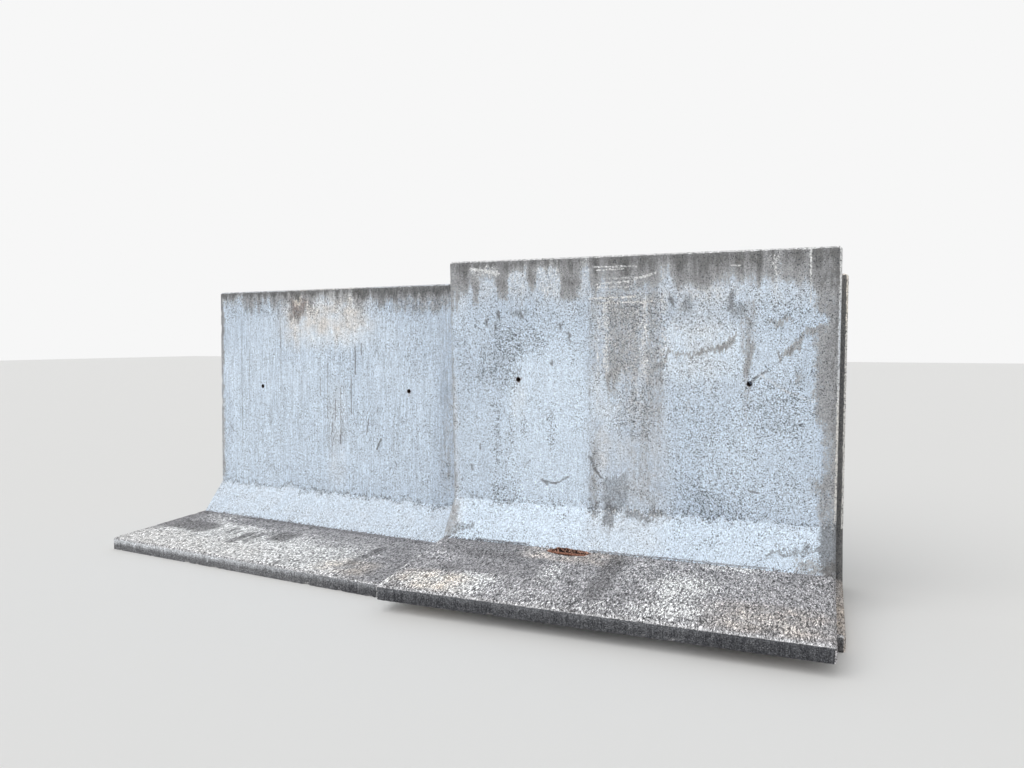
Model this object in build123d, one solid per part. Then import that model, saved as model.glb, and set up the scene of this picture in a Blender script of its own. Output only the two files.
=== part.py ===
from build123d import *
import math
import os

# Three equal precast L-shaped retaining wall units, stored loose on a yard.
# Two stand flat on the ground. The third stands on the foot of the rear one,
# so it is raised, overhangs that foot and leans forward by the foot's fall.
# Millimetres. X runs along the walls, Y from toe to heel, Z up.

# The casting
UNIT_WIDTH = 2490.0
UNIT_HEIGHT = 2000.0
STEM_THICKNESS_AT_TOP = 120.0
STEM_THICKNESS_AT_FOLD = 140.0
TOE_THICKNESS = 90.0
FOOT_THICKNESS_AT_HAUNCH = 131.0
TOE_TO_HAUNCH = 868.0
HAUNCH_DEPTH = 192.0
FOLD_HEIGHT = 358.0
ARRIS = 15.0

# The two lifting holes through each stem, each lined by a cast-in steel sleeve
HOLE_INSET = 500.0
HOLE_HEIGHT = 1200.0
HOLE_BORE = 28.0
SLEEVE_WALL = 3.0
SLEEVE_SETBACK = 2.0

# Broken-out hollow in the raised unit's foot, with the bar it laid bare
HOLLOW_LENGTH = 290.0
HOLLOW_WIDTH = 120.0
HOLLOW_DEPTH = 30.0
HOLLOW_FROM_LEFT = 915.0
HOLLOW_TO_HAUNCH = 45.0
BAR_DIAMETER = 14.0
BAR_EMBEDMENT = 60.0
BAR_DEPTH_BELOW_FOOT_TOP = 6.0

# How the units stand
REAR_UNIT_SHIFT = 46.0
HEEL_TO_REAR_HAUNCH = 31.0
LEFT_UNIT_TURN = 5.5
LEFT_UNIT_SETBACK = 217.0
LEFT_UNIT_TOE_GAP = 119.0

foot_length = TOE_TO_HAUNCH + HAUNCH_DEPTH + STEM_THICKNESS_AT_FOLD
toe_to_fold = TOE_TO_HAUNCH + HAUNCH_DEPTH
foot_fall = (FOOT_THICKNESS_AT_HAUNCH - TOE_THICKNESS) / TOE_TO_HAUNCH
foot_fall_angle = math.degrees(math.atan(foot_fall))
hole_places = [HOLE_INSET, UNIT_WIDTH - HOLE_INSET]


def foot_top(y):
    """Height of the sloping foot top at a distance y behind the toe."""
    return TOE_THICKNESS + foot_fall * y


def stem_face(z):
    """Distance of the stem's inner face behind the toe at height z."""
    batter = STEM_THICKNESS_AT_FOLD - STEM_THICKNESS_AT_TOP
    return toe_to_fold + batter * (z - FOLD_HEIGHT) / (UNIT_HEIGHT - FOLD_HEIGHT)


def unit_section():
    """Side outline of one casting, in the YZ plane at its left end."""
    outline = [
        (0, 0),
        (0, TOE_THICKNESS),
        (TOE_TO_HAUNCH, FOOT_THICKNESS_AT_HAUNCH),
        (toe_to_fold, FOLD_HEIGHT),
        (foot_length - STEM_THICKNESS_AT_TOP, UNIT_HEIGHT),
        (foot_length, UNIT_HEIGHT),
        (foot_length, 0),
    ]
    return Plane.YZ * make_face(Polyline(*outline, close=True))


def is_ground_edge(edge):
    """True for the sharp edges where the casting meets the ground."""
    return edge.bounding_box().max.Z < 1.0


def is_end_edge(edge):
    """True for an edge that lies in the plane of either end."""
    box = edge.bounding_box()
    return box.max.X < 1.0 or box.min.X > UNIT_WIDTH - 1.0


def is_front_or_top_edge(edge):
    """True for the long arrises of the toe and of the stem's top."""
    middle = edge @ 0.5
    is_toe = middle.Y < 1.0
    is_top = middle.Z > UNIT_HEIGHT - 1.0
    return is_toe or is_top


def wall_unit():
    """One casting: foot, haunch and stem in one piece, with eased arrises."""
    casting = extrude(unit_section(), UNIT_WIDTH)
    arrises = [
        edge
        for edge in casting.edges()
        if not is_ground_edge(edge)
        and (is_end_edge(edge) or is_front_or_top_edge(edge))
    ]
    casting = chamfer(arrises, ARRIS)
    for place in hole_places:
        casting -= hole_core(place)
    return casting


def hole_core(place):
    """The round through hole that the sleeve lines."""
    radius = HOLE_BORE / 2 + SLEEVE_WALL
    core = Cylinder(radius, foot_length, rotation=(90, 0, 0))
    return Pos(place, foot_length, HOLE_HEIGHT) * core


def sleeve(place):
    """Steel tube cast into the stem, a little short of both faces."""
    front = stem_face(HOLE_HEIGHT) + SLEEVE_SETBACK
    back = foot_length - SLEEVE_SETBACK
    length = back - front
    outer = Cylinder(HOLE_BORE / 2 + SLEEVE_WALL, length, rotation=(90, 0, 0))
    bore = Cylinder(HOLE_BORE / 2, length, rotation=(90, 0, 0))
    return Pos(place, (front + back) / 2, HOLE_HEIGHT) * (outer - bore)


def hollow_centre():
    """Middle of the broken-out hollow, on the foot's top."""
    y = TOE_TO_HAUNCH - HOLLOW_TO_HAUNCH
    return (HOLLOW_FROM_LEFT, y, foot_top(y))


def broken_hollow():
    """Shallow oval hollow where the foot's top has spalled."""
    half_sizes = (HOLLOW_LENGTH / 2, HOLLOW_WIDTH / 2, HOLLOW_DEPTH)
    return Pos(*hollow_centre()) * scale(Sphere(1.0), by=half_sizes)


def bare_bar():
    """Reinforcing bar laid bare across the hollow, its ends still cast in."""
    x, y, z = hollow_centre()
    length = HOLLOW_LENGTH + 2 * BAR_EMBEDMENT
    depth = BAR_DEPTH_BELOW_FOOT_TOP + BAR_DIAMETER / 2
    bar = Cylinder(BAR_DIAMETER / 2, length, rotation=(0, 90, 0))
    return Pos(x, y, z - depth) * bar


def raised_place():
    """Place of the unit that stands on the rear unit's foot."""
    tilt = math.radians(foot_fall_angle)
    heel = TOE_TO_HAUNCH - HEEL_TO_REAR_HAUNCH
    toe = heel - foot_length * math.cos(tilt)
    return Location((0, toe, foot_top(toe)), (foot_fall_angle, 0, 0))


def left_place():
    """Place of the left unit, set back and turned a little."""
    turn = Location((0, 0, 0), (0, 0, -LEFT_UNIT_TURN))
    toe_right = Location((-LEFT_UNIT_TOE_GAP, LEFT_UNIT_SETBACK + raised_toe_y, 0))
    return toe_right * turn * Location((-UNIT_WIDTH, 0, 0))


raised_toe_y = raised_place().position.Y
places = {
    "left": left_place(),
    "right": raised_place(),
    "rear": Location((REAR_UNIT_SHIFT, 0, 0)),
}

plain_unit = wall_unit()
broken_unit = plain_unit - broken_hollow() - bare_bar()
parts = {}
for name, place in places.items():
    casting = broken_unit if name == "right" else plain_unit
    parts[name + "_wall_unit"] = place * casting
    for side, hole_place in zip(("left", "right"), hole_places):
        parts[name + "_unit_" + side + "_sleeve"] = place * sleeve(hole_place)
parts["bare_reinforcing_bar"] = places["right"] * bare_bar()

# The origin is the middle of the whole group's footprint, at ground level
whole = Compound(list(parts.values())).bounding_box()
middle = whole.center()
to_origin = Location((-middle.X, -middle.Y, -whole.min.Z))

os.makedirs("parts", exist_ok=True)
for name, part in parts.items():
    export_step(to_origin * part, "parts/" + name + ".step")
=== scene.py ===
# %% [markdown]
# # Three L-shaped concrete retaining wall units
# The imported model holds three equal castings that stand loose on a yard. Two stand flat. The third
# stands on the foot of the rear one, so it is raised and leans forward a little. This lesson gives
# them their looks: worn arrises as real geometry, and weathered concrete as shader nodes.
# Everything is in metres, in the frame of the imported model.

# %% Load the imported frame
import math
import bmesh
import bpy
from mathutils import Matrix, Vector, noise


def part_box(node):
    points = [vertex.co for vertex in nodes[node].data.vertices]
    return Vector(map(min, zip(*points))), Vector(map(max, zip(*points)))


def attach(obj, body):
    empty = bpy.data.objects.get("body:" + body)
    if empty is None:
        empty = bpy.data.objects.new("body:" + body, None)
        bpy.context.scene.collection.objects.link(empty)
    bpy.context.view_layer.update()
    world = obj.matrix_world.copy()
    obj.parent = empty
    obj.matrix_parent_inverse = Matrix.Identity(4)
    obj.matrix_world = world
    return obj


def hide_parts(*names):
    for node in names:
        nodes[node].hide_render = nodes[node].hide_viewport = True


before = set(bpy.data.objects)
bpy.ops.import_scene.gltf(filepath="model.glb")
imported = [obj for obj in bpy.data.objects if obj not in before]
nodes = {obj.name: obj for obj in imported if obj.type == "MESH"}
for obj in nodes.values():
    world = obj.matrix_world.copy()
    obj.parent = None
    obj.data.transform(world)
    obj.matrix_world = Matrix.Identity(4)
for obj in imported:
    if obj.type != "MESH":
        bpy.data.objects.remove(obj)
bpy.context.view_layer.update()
print("nodes:", sorted(nodes))

# %% [markdown]
# ## The camera
# The photograph was taken from eye height, to the right of the units, looking a little left and a
# little down. A fit of the units' edges gives the place of the eye, the two angles and the focal
# length in picture units, which a sensor width turns into a lens.

# %% Camera at the photograph's place
EYE = Vector((2.4365, -4.6865, 1.5786))
TURNED_LEFT = math.radians(21.81)
LOOKING_DOWN = math.radians(3.135)
PICTURE_WIDTH = 1024.0
FOCAL_IN_PICTURE = 781.0
SENSOR_WIDTH = 36.0

camera_data = bpy.data.cameras.new("camera")
camera_data.sensor_width = SENSOR_WIDTH
camera_data.lens = SENSOR_WIDTH * FOCAL_IN_PICTURE / PICTURE_WIDTH
camera = bpy.data.objects.new("camera", camera_data)
camera.location = EYE
camera.rotation_euler = (math.pi / 2 - LOOKING_DOWN, 0.0, TURNED_LEFT)
bpy.context.scene.collection.objects.link(camera)
bpy.context.scene.camera = camera
bpy.context.scene.view_settings.view_transform = "Standard"
print("lens", round(camera_data.lens, 2), "mm")

# %% [markdown]
# ## Writing shaders in short lines
# A weathered surface needs a few hundred small nodes. This helper adds a node, links what is given
# to its inputs and hands back its output, so that each line of a shader reads like a sentence.

# %% A helper that writes shader nodes
class Graph:
    """Adds nodes to one node tree. An input may be a number, a vector or another node's output."""

    def __init__(self, tree):
        self.tree = tree

    def node(self, kind, **settings):
        """Adds a node."""
        made = self.tree.nodes.new(kind)
        for name, value in settings.items():
            setattr(made, name, value)
        return made

    def feed(self, socket, value):
        """Links another node's output to an input, or sets the input to a value."""
        if isinstance(value, bpy.types.NodeSocket):
            self.tree.links.new(value, socket)
        elif value is not None:
            socket.default_value = value

    def math(self, operation, *values, clamp=False):
        """One operation on numbers."""
        made = self.node("ShaderNodeMath", operation=operation, use_clamp=clamp)
        for socket, value in zip(made.inputs, values):
            self.feed(socket, value)
        return made.outputs[0]

    def vector(self, operation, *values):
        """One operation on vectors. A length and a dot product come out as numbers."""
        made = self.node("ShaderNodeVectorMath", operation=operation)
        for socket, value in zip(made.inputs, values):
            self.feed(socket, value)
        return made.outputs["Value" if operation in ("DOT_PRODUCT", "LENGTH") else "Vector"]

    def smooth(self, value, low, high, first=0.0, last=1.0):
        """first below low, last above high, a smooth step between."""
        made = self.node("ShaderNodeMapRange", interpolation_type="SMOOTHSTEP")
        for socket, given in zip(made.inputs, (value, low, high, first, last)):
            self.feed(socket, given)
        return made.outputs[0]

    def fade(self, value, start, end):
        """1 below start, 0 above end, a smooth step between."""
        return self.smooth(value, start, end, 1.0, 0.0)

    def clamp(self, value):
        """The value, kept between 0 and 1."""
        return self.math("ADD", value, 0.0, clamp=True)

    def noise(self, place, scale, detail=2.0, roughness=0.5, stretch=None, output="Fac"):
        """Soft noise about 0.5. stretch squeezes the pattern along each axis."""
        if stretch is not None:
            place = self.vector("MULTIPLY", place, stretch)
        made = self.node("ShaderNodeTexNoise")
        self.feed(made.inputs["Vector"], place)
        self.feed(made.inputs["Scale"], scale)
        self.feed(made.inputs["Detail"], detail)
        self.feed(made.inputs["Roughness"], roughness)
        return made.outputs[output]

    def cells(self, place, scale):
        """Small cells: how far a place is from its cell's middle, and one random value a cell."""
        made = self.node("ShaderNodeTexVoronoi")
        self.feed(made.inputs["Vector"], place)
        self.feed(made.inputs["Scale"], scale)
        split = self.node("ShaderNodeSeparateColor")
        self.feed(split.inputs[0], made.outputs["Color"])
        return made.outputs["Distance"], split.outputs[0]

    def blend(self, amount, first, second):
        """A colour that goes from first to second."""
        made = self.node("ShaderNodeMix", data_type="RGBA")
        self.feed(made.inputs["Factor"], amount)
        self.feed(made.inputs["A"], first)
        self.feed(made.inputs["B"], second)
        return made.outputs["Result"]


def paint(red, green, blue):
    """A colour as a picture shows it, 0 to 255, made linear by the usual curve for the shader."""
    linear = []
    for value in (red, green, blue):
        share = value / 255.0
        near_black = share / 12.92
        linear.append(near_black if share <= 0.04045 else ((share + 0.055) / 1.055) ** 2.4)
    return (*linear, 1.0)


def new_material(name):
    """A material with its Graph and its one shader."""
    material = bpy.data.materials.new(name)
    material.use_nodes = True
    return material, Graph(material.node_tree), material.node_tree.nodes["Principled BSDF"]


print("a mid grey is", [round(value, 3) for value in paint(128, 128, 128)])

# %% [markdown]
# ## Light, floor and background
# Open shade has no hard light: the sky lights everything, and a little more comes from the front
# and above. An even world gives most of that, and two suns with very wide angles give the rest, so
# that the haunch, which faces the sky, is a little lighter than the upright stem. Their sum is set
# so that a colour renders about as it is written. The camera sees a pale background that doesn't
# light the object.

# %% Soft daylight
SKY_STRENGTH = 0.72
BACKGROUND = 0.93
FLOOR_SIZE = 60.0
FLOOR_COLOUR = (0.80, 0.80, 0.79, 1.0)
FLOOR_ROUGHNESS = 0.9

world = bpy.data.worlds.new("soft sky")
bpy.context.scene.world = world
world.use_nodes = True
world.node_tree.nodes.clear()
sky = Graph(world.node_tree)
rays = sky.node("ShaderNodeLightPath")
seen = sky.math("MAXIMUM", rays.outputs["Is Camera Ray"], rays.outputs["Is Glossy Ray"])
seen = sky.math("MAXIMUM", seen, rays.outputs["Is Transmission Ray"])
lit_sky = sky.node("ShaderNodeBackground")
lit_sky.inputs["Strength"].default_value = SKY_STRENGTH
seen_sky = sky.node("ShaderNodeBackground")
seen_sky.inputs["Color"].default_value = (BACKGROUND, BACKGROUND, BACKGROUND, 1.0)
both_skies = sky.node("ShaderNodeMixShader")
sky.feed(both_skies.inputs[0], seen)
sky.feed(both_skies.inputs[1], lit_sky.outputs[0])
sky.feed(both_skies.inputs[2], seen_sky.outputs[0])
sky.feed(sky.node("ShaderNodeOutputWorld").inputs["Surface"], both_skies.outputs[0])


def wide_sun(name, comes_from, strength, angle):
    """A sun so wide that its shadows are soft."""
    data = bpy.data.lights.new(name, "SUN")
    data.energy = strength
    data.angle = math.radians(angle)
    lamp = bpy.data.objects.new(name, data)
    lamp.rotation_euler = Vector(comes_from).to_track_quat("Z", "Y").to_euler()
    bpy.context.scene.collection.objects.link(lamp)


wide_sun("key light", comes_from=(-0.45, -0.75, 1.0), strength=1.25, angle=60.0)
wide_sun("fill light", comes_from=(0.3, -1.0, 0.15), strength=0.50, angle=80.0)

floor_mesh = bpy.data.meshes.new("floor")
shape = bmesh.new()
bmesh.ops.create_grid(shape, x_segments=1, y_segments=1, size=FLOOR_SIZE)
shape.to_mesh(floor_mesh)
shape.free()
floor = bpy.data.objects.new("floor", floor_mesh)
bpy.context.scene.collection.objects.link(floor)
floor_paint, floor_graph, floor_shader = new_material("pale floor")
floor_graph.feed(floor_shader.inputs["Base Color"], FLOOR_COLOUR)
floor_graph.feed(floor_shader.inputs["Roughness"], FLOOR_ROUGHNESS)
floor_mesh.materials.append(floor_paint)
print("sky strength", SKY_STRENGTH)

# %% [markdown]
# ## One casting's own axes
# All three castings came from one mould, so their shape is described once, in the axes that the
# mould has: x along the wall from its left end, y from toe to heel, z up. A matrix for each casting
# carries those axes to where it stands. The two flat ones stand on the ground, and the raised one
# leans by the fall of the foot that it stands on.

# %% The casting's sizes and where each one stands
WIDTH = 2.49
HEIGHT = 2.0
FOOT_LENGTH = 1.2
TOE_THICKNESS = 0.09
HAUNCH_START = Vector((0.868, 0.131))
FOLD = Vector((1.06, 0.358))
STEM_TOP = Vector((1.08, HEIGHT))
ARRIS = 0.015
HOLE_INSET = 0.5
HOLLOW_CENTRE = Vector((0.915, 0.823))
HOLLOW_HALF_SIZE = Vector((0.145, 0.060))
LEFT_UNIT_TURN = math.radians(5.5)

foot_fall = (HAUNCH_START.y - TOE_THICKNESS) / HAUNCH_START.x
lean = math.atan(foot_fall)


def stands_at(node, turned=0.0, leaning=0.0):
    """Matrix from a casting's own axes to the frame, from the corner of its box that its toe touches."""
    low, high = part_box(node)
    toe_tip = (TOE_THICKNESS - ARRIS) * math.sin(leaning)
    corner = Vector((low.x, low.y + toe_tip, low.z))
    if turned:
        arris_shift = ARRIS * math.sin(turned)
        corner.x = low.x - arris_shift
        corner.y = high.y - FOOT_LENGTH * math.cos(turned) + arris_shift
    turn = Matrix.Rotation(-turned, 4, "Z")
    tilt = Matrix.Rotation(leaning, 4, "X")
    return Matrix.Translation(corner) @ turn @ tilt


places = {
    "left": stands_at("left_wall_unit", turned=LEFT_UNIT_TURN),
    "right": stands_at("right_wall_unit", leaning=lean),
    "rear": stands_at("rear_wall_unit"),
}
for name, place in places.items():
    print(name, "casting stands at", [round(value, 4) for value in place.translation])

# %% [markdown]
# ## Worn arrises as real geometry
# The solids have clean arrises 15 mm wide. Real ones are rubbed and nicked by slings and by the
# unit beside them, and that shows against the sky. Bump can't change an outline, so each casting
# gets a skin: a copy of the solid, cut into short rows near its outer arrises only, whose points
# are then pushed inwards by noise. The big flat faces stay single faces, which keeps the mesh small.

# %% Copy a casting, merged and in its own axes
ROW_DEPTHS = (0.024, 0.034, 0.047)
ROW_STEP = 0.008
NEAR_ARRIS = 0.048
LONG = 0.2
SAME = 1e-4
FLAT = math.radians(0.5)
SEAMS = (HOLE_INSET, HOLLOW_CENTRE.x, WIDTH - HOLE_INSET)
X_AXIS, Y_AXIS, Z_AXIS = 0, 1, 2

outline = [
    Vector((0.0, 0.0)),
    Vector((0.0, TOE_THICKNESS)),
    HAUNCH_START,
    FOLD,
    STEM_TOP,
    Vector((FOOT_LENGTH, HEIGHT)),
    Vector((FOOT_LENGTH, 0.0)),
]


def span(face, axis):
    """Lowest and highest place of a face along one axis."""
    values = [vert.co[axis] for vert in face.verts]
    return min(values), max(values)


def cut(mesh, faces, axis, at):
    """Cuts the given faces by a plane across one axis and returns the faces beyond it."""
    corners = {vert for face in faces for vert in face.verts}
    edges = {edge for face in faces for edge in face.edges}
    at_point = Vector((0, 0, 0))
    at_point[axis] = at
    normal = Vector((0, 0, 0))
    normal[axis] = 1.0
    result = bmesh.ops.bisect_plane(
        mesh,
        geom=[*corners, *edges, *faces],
        plane_co=at_point,
        plane_no=normal,
        dist=SAME / 10,
    )
    pieces = [item for item in result["geom"] if isinstance(item, bmesh.types.BMFace)]
    return [face for face in pieces if span(face, axis)[1] > at + SAME]


def cut_where(mesh, test, axis, positions):
    """Cuts the faces that pass a test at each position."""
    faces = [face for face in mesh.faces if test(face)]
    for position in sorted(positions):
        faces = cut(mesh, faces, axis, position)


def anywhere(face):
    """Every face passes."""
    return True


def merged_copy(node, place):
    """A clean mesh of a casting, in its own axes, with seams through its holes and its hollow."""
    mesh = bmesh.new()
    mesh.from_mesh(nodes[node].data)
    bmesh.ops.remove_doubles(mesh, verts=mesh.verts, dist=SAME / 10)
    bmesh.ops.dissolve_limit(mesh, angle_limit=FLAT, verts=mesh.verts, edges=mesh.edges)
    bmesh.ops.transform(mesh, matrix=place.inverted(), verts=mesh.verts)
    cut_where(mesh, anywhere, X_AXIS, SEAMS)
    mesh.normal_update()
    needless = []
    for edge in mesh.edges:
        on_seam = any(all(abs(vert.co.x - seam) < SAME for vert in edge.verts) for seam in SEAMS)
        if not on_seam and len(edge.link_faces) == 2 and edge.calc_face_angle() < FLAT:
            needless.append(edge)
    bmesh.ops.dissolve_edges(mesh, edges=needless, use_verts=True)
    return mesh


trial = merged_copy("rear_wall_unit", places["rear"])
print("merged casting:", len(trial.verts), "points and", len(trial.faces), "faces")
trial.free()

# %% Rows beside each arris, then short steps along them
# How nearly an edge runs along a direction, how nearly a face looks along the wall, and how large
# an end face is at least
ALONG = 0.9999
ACROSS = 0.99
END_AREA = 0.1


def steps(low, high, step):
    """Even places from low to high, both left out."""
    count = round((high - low) / step)
    return [low + (high - low) * number / count for number in range(1, count)]


def in_toe(face):
    """Whether a face is in the rows of the toe."""
    return span(face, Y_AXIS)[1] < NEAR_ARRIS + SAME and span(face, Z_AXIS)[1] < TOE_THICKNESS + ARRIS


def in_top(face):
    """Whether a face is in the rows of the stem's top."""
    return span(face, Z_AXIS)[0] > HEIGHT - NEAR_ARRIS - SAME


def at_end(face, end):
    """Whether a face is in the rows beside one end."""
    return all(abs(place - end) < NEAR_ARRIS + SAME for place in span(face, X_AXIS))


def long_edges(faces, direction):
    """The long edges of some faces that run along a direction."""
    found = set()
    for face in faces:
        for edge in face.edges:
            line = edge.verts[1].co - edge.verts[0].co
            if line.length > LONG and abs(line.normalized().dot(direction)) > ALONG:
                found.add(edge)
    return list(found)


def shorten(mesh, edges):
    """Cuts like long edges into equal short steps."""
    if edges:
        longest = max(edge.calc_length() for edge in edges)
        cuts = round(longest / ROW_STEP) - 1
        bmesh.ops.subdivide_edges(mesh, edges=edges, cuts=cuts, use_grid_fill=True)


def add_rows(mesh):
    """Cuts rows along every outer arris, and steps along the rows. The two end faces are left open."""
    ends = [face for face in mesh.faces if abs(face.normal.x) > ACROSS and face.calc_area() > END_AREA]
    bmesh.ops.delete(mesh, geom=ends, context="FACES_ONLY")
    cut_where(mesh, anywhere, X_AXIS, [*ROW_DEPTHS, *(WIDTH - depth for depth in ROW_DEPTHS)])
    cut_where(mesh, anywhere, Z_AXIS, [HEIGHT - depth for depth in ROW_DEPTHS])
    cut_where(mesh, anywhere, Y_AXIS, ROW_DEPTHS)
    cut_where(mesh, in_toe, Z_AXIS, steps(0.0, TOE_THICKNESS - ARRIS, ARRIS))
    cut_where(mesh, in_top, Y_AXIS, steps(STEM_TOP.x + ARRIS, FOOT_LENGTH - ARRIS, ARRIS))
    stations = [NEAR_ARRIS, *SEAMS, WIDTH - NEAR_ARRIS]
    for start, stop in zip(stations, stations[1:]):
        rows = [face for face in mesh.faces if in_toe(face) or in_top(face)]
        between = []
        for edge in long_edges(rows, Vector((1, 0, 0))):
            if start < (edge.verts[0].co.x + edge.verts[1].co.x) / 2 < stop:
                between.append(edge)
        shorten(mesh, between)
    for end in (0.0, WIDTH):
        for start, stop in zip(outline, outline[1:] + outline[:1]):
            rows = [face for face in mesh.faces if at_end(face, end)]
            run = Vector((0, *(stop - start))).normalized()
            shorten(mesh, long_edges(rows, run))


# %% Close the ends with rings that follow the outline
def inset_outline(depth, ground_depth):
    """The outline moved inwards. The ground edge may move by another depth."""
    corners = []
    count = len(outline)
    for number, corner in enumerate(outline):
        rows, sides = [], []
        for start, stop in ((outline[number - 1], corner), (corner, outline[(number + 1) % count])):
            run = (stop - start).normalized()
            inwards = Vector((run.y, -run.x))
            on_ground = start.y == 0.0 and stop.y == 0.0
            rows.append(inwards)
            sides.append(inwards.dot(corner) + (ground_depth if on_ground else depth))
        corners.append(Matrix(rows).inverted() @ Vector(sides))
    return corners


def share_on(corners, point):
    """Which edge of an outline a point lies on, and how far along it."""
    found = None
    for number, start in enumerate(corners):
        run = corners[(number + 1) % len(corners)] - start
        share = max(0.0, min(1.0, (point - start).dot(run) / run.length_squared))
        gap = (point - start - run * share).length
        if found is None or gap < found[0]:
            found = (gap, number, share)
    return found[1:]


def open_loop(mesh, end):
    """The points round the open end, in order."""
    rim = [edge for edge in mesh.edges if edge.is_boundary and abs(edge.verts[0].co.x - end) < ARRIS]
    waiting = set(rim)
    first = rim[0].verts[0]
    loop = [first]
    while waiting:
        edge = next(item for item in loop[-1].link_edges if item in waiting)
        waiting.remove(edge)
        loop.append(edge.other_vert(loop[-1]))
    return loop[:-1]


def close_end(mesh, end):
    """Fills an end with rings beside its arrises and one flat face."""
    loop = open_loop(mesh, end)
    rim = inset_outline(ARRIS, 0.0)
    shares = [share_on(rim, Vector((vert.co.y, vert.co.z))) for vert in loop]
    for depth in ROW_DEPTHS:
        corners = inset_outline(depth, depth)
        inner = []
        for number, share in shares:
            point = corners[number].lerp(corners[(number + 1) % len(corners)], share)
            inner.append(mesh.verts.new((end, *point)))
        for step in range(len(loop)):
            mesh.faces.new((loop[step - 1], loop[step], inner[step], inner[step - 1]))
        loop = inner
    mesh.faces.new(loop)


# %% [markdown]
# Wear is worked out from how near a point is to an arris. Along the wall's length that is the
# distance from a corner of the section. At an end it is the larger of the distance from the end
# and the distance from the section's outline. Fine noise rubs the whole arris, and the peaks of a
# slower noise knock chips out of it.

# %% Wear along the arrises
RUB_DEPTH = 0.0022
CHIP_DEPTH = 0.03
CHIP_THRESHOLD = 0.30
WEAR_REACH = 0.030
RUB_NOISE = 70.0
CHIP_NOISE = 13.0
CHIP_UNREST = 0.6
CHIP_UNREST_NOISE = 60.0
SEED_SHARES = (1.0, 0.37, 1.7)

outer_corners = [outline[number] for number in (0, 1, 4, 5, 6)]


def to_outline(point):
    """Distance in the section's plane from a point to the outline."""
    nearest = FOOT_LENGTH
    for start, end in zip(outline, outline[1:] + outline[:1]):
        along = end - start
        share = max(0.0, min(1.0, (point - start).dot(along) / along.length_squared))
        nearest = min(nearest, (point - start - along * share).length)
    return nearest


def to_arris(place):
    """Distance from a point on the skin to its nearest outer arris."""
    section = Vector((place.y, place.z))
    from_end = min(place.x, WIDTH - place.x)
    end_arris = FOOT_LENGTH
    if from_end < NEAR_ARRIS:
        end_arris = max(from_end, to_outline(section))
    long_arris = min((section - corner).length for corner in outer_corners)
    return min(end_arris, long_arris)


def wear(mesh, seed):
    """Rubs and chips the outer arrises."""
    mesh.normal_update()
    moves = []
    shift = Vector([seed * share for share in SEED_SHARES])
    for vert in mesh.verts:
        near = to_arris(vert.co)
        if near > WEAR_REACH:
            continue
        share = 1.0 - near / WEAR_REACH
        place = vert.co + shift
        rub = RUB_DEPTH * (1.0 + noise.noise(place * RUB_NOISE))
        chip = CHIP_DEPTH * max(0.0, noise.noise(place * CHIP_NOISE) - CHIP_THRESHOLD)
        chip *= 1.0 + CHIP_UNREST * noise.noise(place * CHIP_UNREST_NOISE)
        moves.append((vert, vert.normal * -(rub + chip) * share * share * (3.0 - 2.0 * share)))
    for vert, move in moves:
        vert.co += move
    return len(moves)


# %% Skins of the three castings
FOLD_LINES = (HAUNCH_START, FOLD)
FOLD_REACH = 0.004
SHARP = math.radians(60.0)
SHARP_IN_HOLLOW = math.radians(20.0)
hollow_place = Vector((*HOLLOW_CENTRE, TOE_THICKNESS + foot_fall * HOLLOW_CENTRE.y))


def mark_sharp(mesh):
    """Smooth over the worn arrises, sharp at the folds and round the holes."""
    for edge in mesh.edges:
        ends = [Vector((vert.co.y, vert.co.z)) for vert in edge.verts]
        on_fold = any(all((end - line).length < FOLD_REACH for end in ends) for line in FOLD_LINES)
        limit = SHARP_IN_HOLLOW if (edge.verts[0].co - hollow_place).length < LONG else SHARP
        bent = len(edge.link_faces) == 2 and edge.calc_face_angle() > limit
        edge.smooth = not (on_fold or bent)


def skin(name, seed, extra=None):
    """The worn skin that stands for one casting."""
    node = name + "_wall_unit"
    mesh = merged_copy(node, places[name])
    add_rows(mesh)
    for end in (0.0, WIDTH):
        close_end(mesh, end)
    bmesh.ops.recalc_face_normals(mesh, faces=mesh.faces)
    if extra is not None:
        extra(mesh)
    worn = wear(mesh, seed)
    mark_sharp(mesh)
    bmesh.ops.transform(mesh, matrix=places[name], verts=mesh.verts)
    data = bpy.data.meshes.new(name + "_worn_casting")
    mesh.to_mesh(data)
    mesh.free()
    for polygon in data.polygons:
        polygon.use_smooth = True
    piece = bpy.data.objects.new(name + "_worn_casting", data)
    bpy.context.scene.collection.objects.link(piece)
    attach(piece, "root")
    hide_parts(node)
    data.calc_loop_triangles()
    print(piece.name, "has", len(data.loop_triangles), "triangles,", worn, "worn points")
    return piece


print("edges sharper than", round(math.degrees(SHARP)), "degrees stay sharp")

# %% [markdown]
# The raised unit's foot has a broken-out hollow with a bar laid bare in it. In the solid it is a
# plain oval. Here its points move in or out by noise, which makes the rim as uneven as broken
# concrete is. Points beside the bar stay where they are, so that the bar still fills its hole.

# %% The hollow's uneven rim, then all three skins
RIM_UNREST = 0.30
RIM_NOISE = 22.0
RIM_SLACK = 1.01
BAR_DEPTH = 0.013
BAR_CLEARANCE = 0.010
SHALLOW = 0.001
haunch_slope = (FOLD.y - HAUNCH_START.y) / (FOLD.x - HAUNCH_START.x)


def surface_height(y):
    """Height of the foot's top, or of the haunch behind it."""
    on_haunch = HAUNCH_START.y + haunch_slope * (y - HAUNCH_START.x)
    return max(TOE_THICKNESS + foot_fall * y, on_haunch)


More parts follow.
